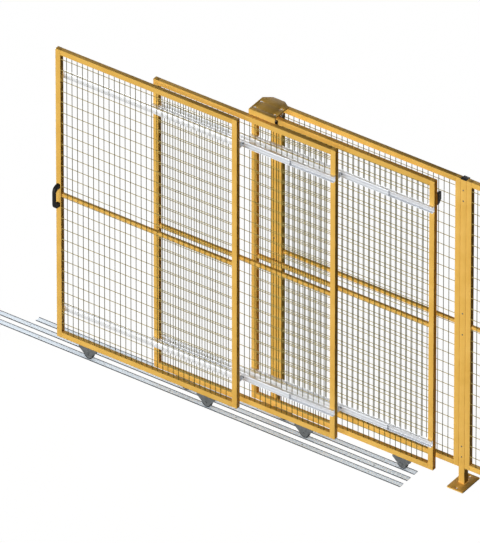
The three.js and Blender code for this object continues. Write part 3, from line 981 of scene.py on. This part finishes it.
# ---- Handle and stop ----
def handle():
    """A bow of rounded section between two feet that lie on the stile."""
    node = "leaf_1_handle"
    low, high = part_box(node)
    x = (low.x + high.x) / 2
    z = (low.z + high.z) / 2
    seat = high.y
    half_width = (high.x - low.x) / 2
    half = (high.z - low.z) / 2
    inner_half = half - HANDLE_FOOT
    bend = inner_half - HANDLE_BAR
    out = -HANDLE_STANDOFF
    grip = out + HANDLE_BAR
    shoulder = [(0, half), (out * HANDLE_SHOULDER, half), (out, half - HANDLE_FOOT / 2), (out, bend)]
    outer = bezier(shoulder, HANDLE_STEPS)
    inner = bezier([(0, inner_half), (grip, inner_half), (grip, bend)], HANDLE_STEPS)
    outer.append(Vector((out, bend)))
    inner.append(Vector((grip, bend)))
    outer += [Vector((point.x, -point.y)) for point in reversed(outer)]
    inner += [Vector((point.x, -point.y)) for point in reversed(inner)]
    rings = []
    for far, near in zip(outer, inner):
        middle = (far + near) / 2
        across = (far - near) / 2
        reach = across.length
        corner = min(HANDLE_ROUND, reach * HANDLE_THIN_ROUND)
        ring = []
        for point in rectangle(-half_width, half_width, -reach, reach, corner, GRIP_CORNER_STEPS):
            place = middle + across * (point.y / reach)
            ring.append((x + point.x, seat + place.x, z + place.y))
        rings.append(ring)
    piece = Piece(node + "_bow", "leaf_1", "black_plastic", BLACK, ZINC)
    loft(piece.part, rings)
    screws = [(x, seat, z + way * (half - HANDLE_SCREW_INSET)) for way in (-1, 1)]
    for centre in screws:
        rod(piece.part, "y", centre, BOSS_RADIUS, -BOSS_END, -BOSS_START, BOSS_SIDES)
    piece.take(0)
    head = (-BOSS_END, -BOSS_END - HANDLE_SCREW_RISE)
    for centre in screws:
        button_head(piece.part, "y", centre, HANDLE_SCREW_RADIUS, *head)
    piece.take(1)
    piece.done(node)


def stop():
    """A block with its back lower corner cut off and two screws."""
    node = "leaf_3_stop"
    low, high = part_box(node)
    corners = [
        (low.y, low.z), (low.y + STOP_CHAMFER, low.z), (high.y, low.z + STOP_CHAMFER),
        (high.y, high.z), (low.y, high.z),
    ]
    piece = Piece(node + "_block", "leaf_3", "black_plastic", BLACK, ZINC)
    slab(piece.part, [smoothed(corners, STOP_ROUND, 2)], "x", low.x, high.x, STOP_ROUND)
    piece.take(0)
    middle = (low.y + high.y) / 2
    head = (high.x - STOP_SCREW_SINK, high.x + STOP_SCREW_RISE)
    for z in (low.z + STOP_LOW_SCREW, high.z - STOP_HIGH_SCREW):
        button_head(piece.part, "x", (0, middle, z), STOP_SCREW_RADIUS, *head)
    piece.take(1)
    piece.done(node)


# ---- Top bracket and guide rollers ----
def top_bracket():
    """A plate with a slot over each roller, folded down along its front."""
    node = "top_bracket"
    low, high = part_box(node)
    x = (low.x + high.x) / 2
    back_half = PLATE_BACK_WIDTH / 2
    fold = low.y + FOLD_OUTER + PLATE
    underside = high.z - PLATE
    piece = Piece(node + "_plate", "fence", "frame_paint", PAINT)
    taper = high.y - PLATE_TAPER
    outline = [
        (low.x, fold), (high.x, fold), (high.x, taper),
        (x + back_half, high.y), (x - back_half, high.y), (low.x, taper),
    ]
    loops = [smoothed(outline, PLATE_ROUNDS)]
    for place in ROLLERS:
        first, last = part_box("guide_roller_" + place)
        u = (first.x + last.x) / 2
        v = (first.y + last.y) / 2
        sides = (u - SLOT_LENGTH / 2, u + SLOT_LENGTH / 2, v - BORE_RADIUS, v + BORE_RADIUS)
        loops.append(rectangle(*sides, SLOT_END_ROUND, FOLD_STEPS))
    slab(piece.part, loops, "z", underside, high.z, PLATE_EDGE)
    flange = [
        (fold + FOLD_LAP, underside), (fold + FOLD_LAP, high.z), (low.y, high.z), (low.y, low.z),
        (low.y + PLATE, low.z), (low.y + PLATE, underside),
    ]
    slab(piece.part, [smoothed(flange, FLANGE_ROUNDS, FOLD_STEPS)], "x", low.x, high.x, PLATE_EDGE)
    piece.done(node)


def guide_roller(place):
    """A black roller with a zinc-plated race in it."""
    node = "guide_roller_" + place
    low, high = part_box(node)
    centre = (low + high) / 2
    half = (high.z - low.z) / 2
    radius = (high.x - low.x) / 2
    piece = Piece(node + "_wheel", "roller_" + place, "black_plastic", BLACK, ZINC)
    bore = (ROLLER_BORE, ROLLER_DISH)
    running_ring(piece.part, bore, ROLLER_SHOULDER, radius, half, "z", centre, ROLLER_SIDES)
    piece.take(0)
    race = [
        (BORE_RADIUS, -half), (RACE_RADIUS - RACE_CHAMFER, -half),
        (RACE_RADIUS, RACE_CHAMFER_DEPTH - half),
    ]
    lathe(piece.part, mirrored(race), "z", centre, RACE_SIDES)
    piece.take(1)
    piece.done(node)


def guide_roller_bolt(place):
    """The bolt that hangs a roller under the bracket, with its spacer, collar and head."""
    node = "guide_roller_bolt_" + place
    low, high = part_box(node)
    roller_low, roller_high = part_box("guide_roller_" + place)
    centre = (low + high) / 2
    centre.z = 0
    piece = Piece(node + "_bolt", "fence", "dark_steel", ZINC)
    part = piece.part
    rod(part, "z", centre, AXLE_RADIUS, roller_low.z - ROLLER_SHAFT_REACH, high.z)
    start = roller_high.z + ROLLER_GAP
    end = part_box("top_bracket")[1].z - PLATE - COLLAR_GAP
    collar = end - COLLAR_THICKNESS
    profile = [
        (0, start), (SPACER_RADIUS - SPACER_CHAMFER, start), (SPACER_RADIUS, start + SPACER_CHAMFER),
        (SPACER_RADIUS, collar), (COLLAR_RADIUS, collar), (COLLAR_RADIUS, end), (0, end),
    ]
    lathe(part, profile, "z", centre)
    hex_head(part, "z", centre, ROLLER_HEAD_RADIUS, roller_low.z - ROLLER_GAP, low.z)
    piece.done(node)


# ---- The camera, the lights and the floor ----
def camera():
    """A very long lens, because the photograph's lines run parallel."""
    data = bpy.data.cameras.new("camera")
    data.lens = VIEW_LENS
    data.sensor_width = VIEW_SENSOR
    data.clip_start, data.clip_end = VIEW_CLIP
    level = math.cos(VIEW_ELEVATION)
    back = Vector((
        math.sin(VIEW_AZIMUTH) * level, -math.cos(VIEW_AZIMUTH) * level, math.sin(VIEW_ELEVATION),
    ))
    viewer = bpy.data.objects.new("camera", data)
    viewer.location = VIEW_TARGET + back * VIEW_DISTANCE
    viewer.rotation_euler = (-back).to_track_quat("-Z", "Y").to_euler()
    bpy.context.scene.collection.objects.link(viewer)
    bpy.context.scene.camera = viewer


def sun(name, source, strength, spread, shadow=True):
    """A sun so many degrees wide that shines from the side where source points."""
    data = bpy.data.lights.new(name, "SUN")
    data.energy = strength
    data.angle = math.radians(spread)
    data.use_shadow = shadow
    lamp = bpy.data.objects.new(name, data)
    lamp.rotation_euler = (-Vector(source)).to_track_quat("-Z", "Y").to_euler()
    bpy.context.scene.collection.objects.link(lamp)


def shown_directly(tree):
    """1 for what the camera sees, straight, by reflection or through glass, and 0 for diffuse light."""
    path = add_node(tree, "ShaderNodeLightPath", {})
    total = path.outputs["Is Camera Ray"]
    for name in ("Is Glossy Ray", "Is Transmission Ray"):
        larger = add_node(tree, "ShaderNodeMath", {0: total, 1: path.outputs[name]})
        larger.operation = "MAXIMUM"
        total = larger.outputs[0]
    return total


def world():
    """A white surround that lights the object by reflection, and only a little by diffuse light."""
    sky = bpy.data.worlds.new("studio")
    sky.use_nodes = True
    tree = sky.node_tree
    tree.nodes.clear()
    white = (1, 1, 1, 1)
    dim = add_node(tree, "ShaderNodeBackground", {"Color": white, "Strength": AMBIENT})
    full = add_node(tree, "ShaderNodeBackground", {"Color": white, "Strength": 1.0})
    mix = add_node(tree, "ShaderNodeMixShader", {
        "Fac": shown_directly(tree),
        1: dim.outputs[0],
        2: full.outputs[0],
    })
    add_node(tree, "ShaderNodeOutputWorld", {"Surface": mix.outputs[0]})
    bpy.context.scene.world = sky


def floor():
    """A white floor that glows for the camera and still takes the object's shadow."""
    material = bpy.data.materials.new("floor")
    material.use_nodes = True
    tree = material.node_tree
    tree.nodes.clear()
    grey = (FLOOR_ALBEDO, FLOOR_ALBEDO, FLOOR_ALBEDO, 1)
    diffuse = add_node(tree, "ShaderNodeBsdfDiffuse", {"Color": grey})
    light = add_node(tree, "ShaderNodeEmission", {"Strength": FLOOR_GLOW})
    both = add_node(tree, "ShaderNodeAddShader", {0: diffuse.outputs[0], 1: light.outputs[0]})
    mix = add_node(tree, "ShaderNodeMixShader", {
        "Fac": shown_directly(tree),
        1: diffuse.outputs[0],
        2: both.outputs[0],
    })
    add_node(tree, "ShaderNodeOutputMaterial", {"Surface": mix.outputs[0]})
    mesh = bpy.data.meshes.new("floor")
    sides = ((-1, -1), (1, -1), (1, 1), (-1, 1))
    corners = [(x * FLOOR_REACH, y * FLOOR_REACH, FLOOR_LEVEL) for x, y in sides]
    mesh.from_pydata(corners, [], [(0, 1, 2, 3)])
    mesh.materials.append(material)
    ground = bpy.data.objects.new("floor", mesh)
    bpy.context.scene.collection.objects.link(ground)


def studio():
    """Two suns at the front, the stronger one without shadows, and one at the back."""
    camera()
    sun("main_sun", FRONT_SIDE, MAIN_STRENGTH, FRONT_SPREAD)
    sun("fill_sun", FRONT_SIDE, FILL_STRENGTH, FRONT_SPREAD, shadow=False)
    sun("back_sun", BACK_SIDE, BACK_STRENGTH, BACK_SPREAD)
    world()
    floor()
    bpy.context.scene.view_settings.view_transform = "Standard"


# ---- The object ----
def leaf_pieces(leaf):
    body = f"leaf_{leaf}"
    tube_frame(body + "_frame", body)
    welded_mesh(body + "_mesh", body + "_frame", body)
    for side in ("left", "right"):
        wheel_bracket(f"{body}_wheel_bracket_{side}", body)
        axle(f"{body}_axle_{side}", body)
        wheel(f"{body}_wheel_{side}", f"wheel_{leaf}_{side}")
    leaf_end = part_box(body + "_frame")[1].x
    for level in ("upper", "lower"):
        if leaf > 1:
            rail(f"{body}_guide_channel_{level}", body, -1)
        if leaf < 3:
            rail(f"{body}_carrier_rail_{level}", body, 1)
            slide_bar(f"{body}_slide_bar_{level}", body, leaf_end)


studio()
for side in ("left", "middle", "right"):
    post(side)
for side in ("middle", "right"):
    post_cap(side)
for side in ("left", "right"):
    tube_frame(f"panel_{side}_frame", "fence")
    welded_mesh(f"panel_{side}_mesh", f"panel_{side}_frame", "fence")
for leaf in (1, 2, 3):
    track(leaf)
    leaf_pieces(leaf)
handle()
stop()
top_bracket()
for place in ROLLERS:
    guide_roller(place)
    guide_roller_bolt(place)
